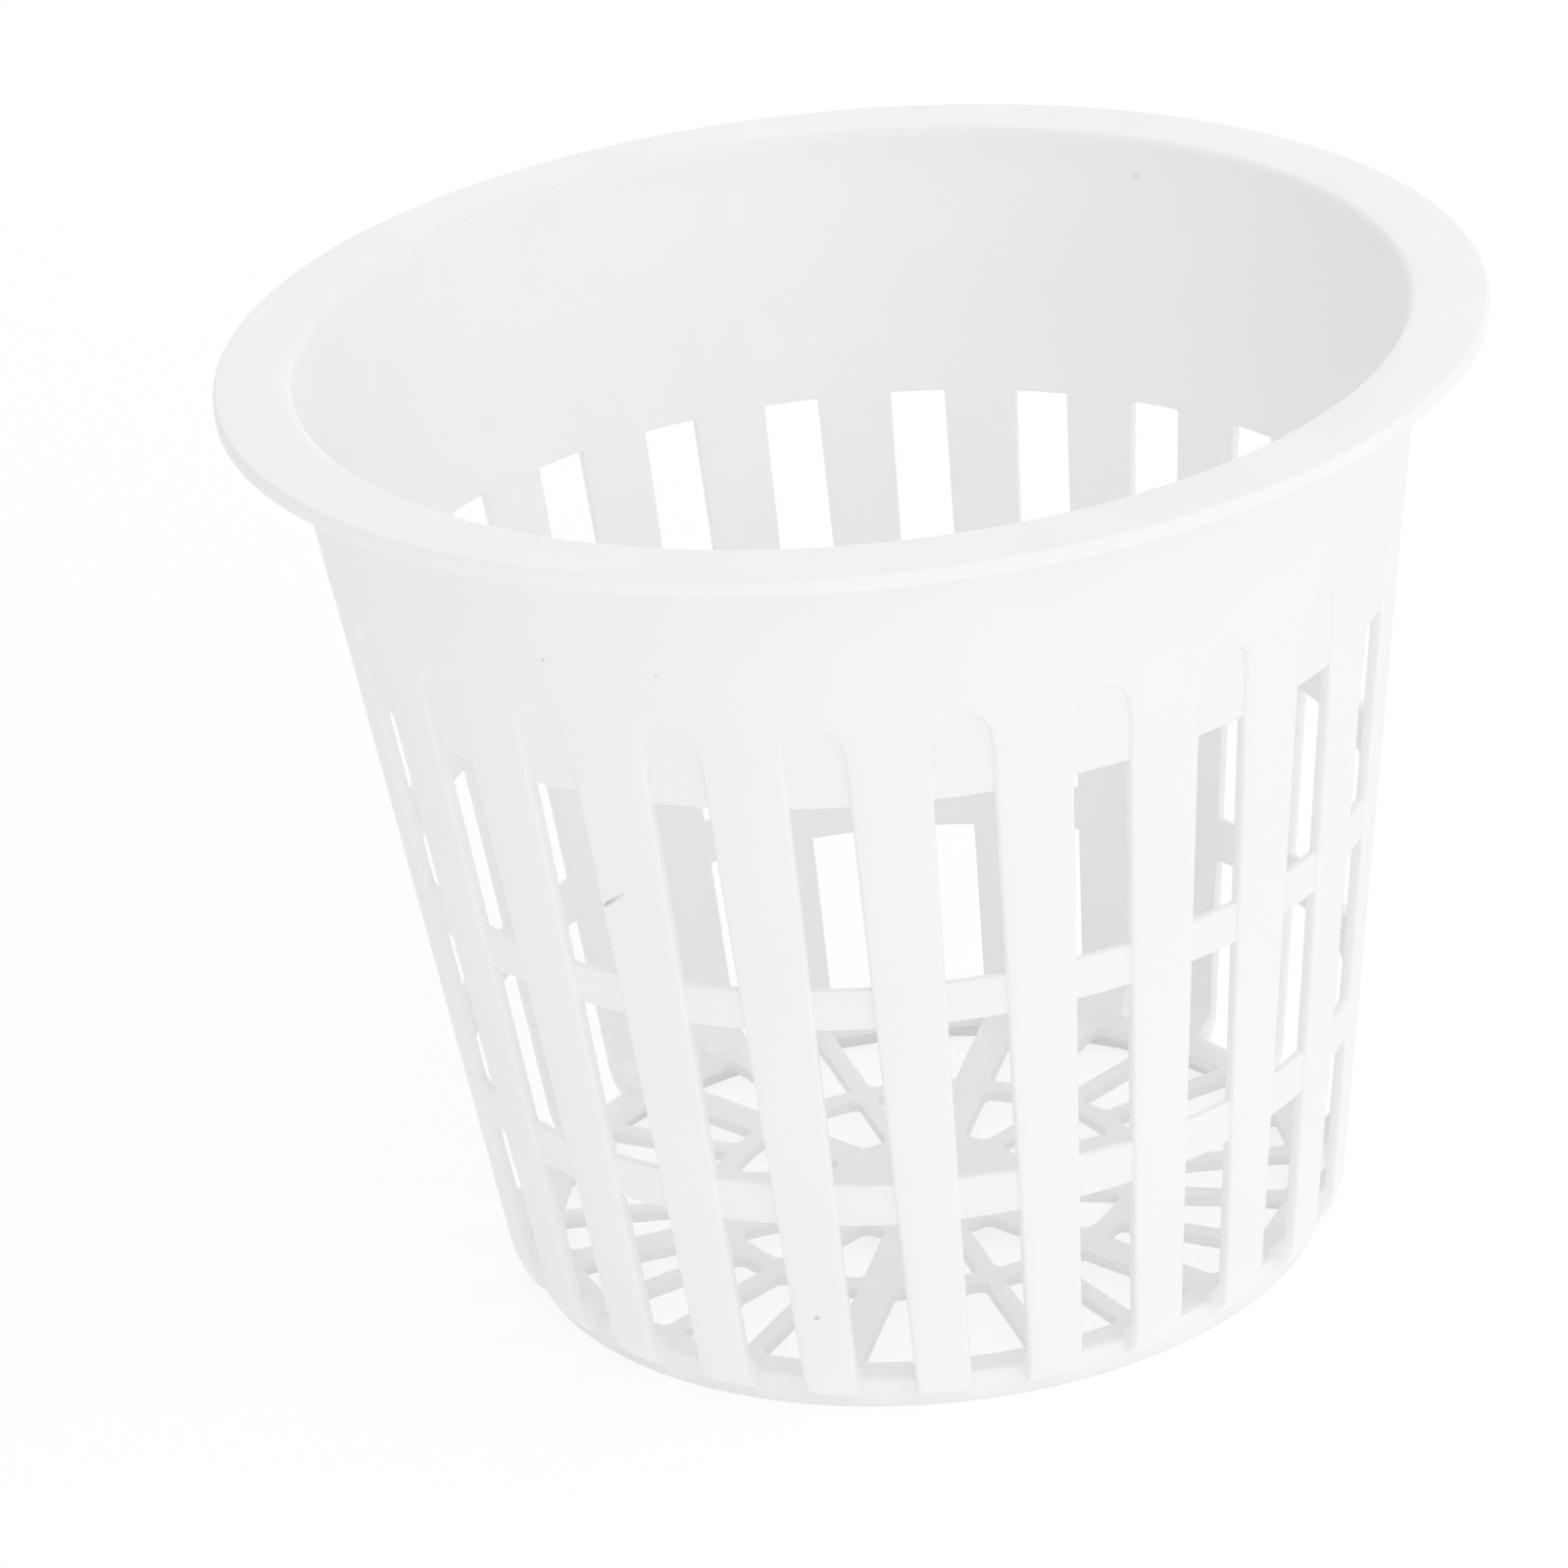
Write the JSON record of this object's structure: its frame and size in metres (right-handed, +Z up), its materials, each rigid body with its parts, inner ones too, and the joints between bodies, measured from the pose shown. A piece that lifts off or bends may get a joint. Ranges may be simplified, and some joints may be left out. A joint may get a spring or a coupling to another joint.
{
  "type": "hydroponic net pot",
  "caption": "Tapered round basket pot with a flat flanged rim, upright slots between ribs in its side and an open spoked floor, for growing plants with bare roots in water.",
  "frame": {"origin": "centre of the foot ring, on the surface the pot stands on", "axes": "+Z up along the pot's axis, +X out through the middle of a slot"},
  "size_m": [0.095, 0.095, 0.0747],
  "materials": {
    "white_polypropylene": "satin, as moulded"
  },
  "bodies": {
    "root": {"net_pot": "white_polypropylene"}
  },
  "joints": []
}
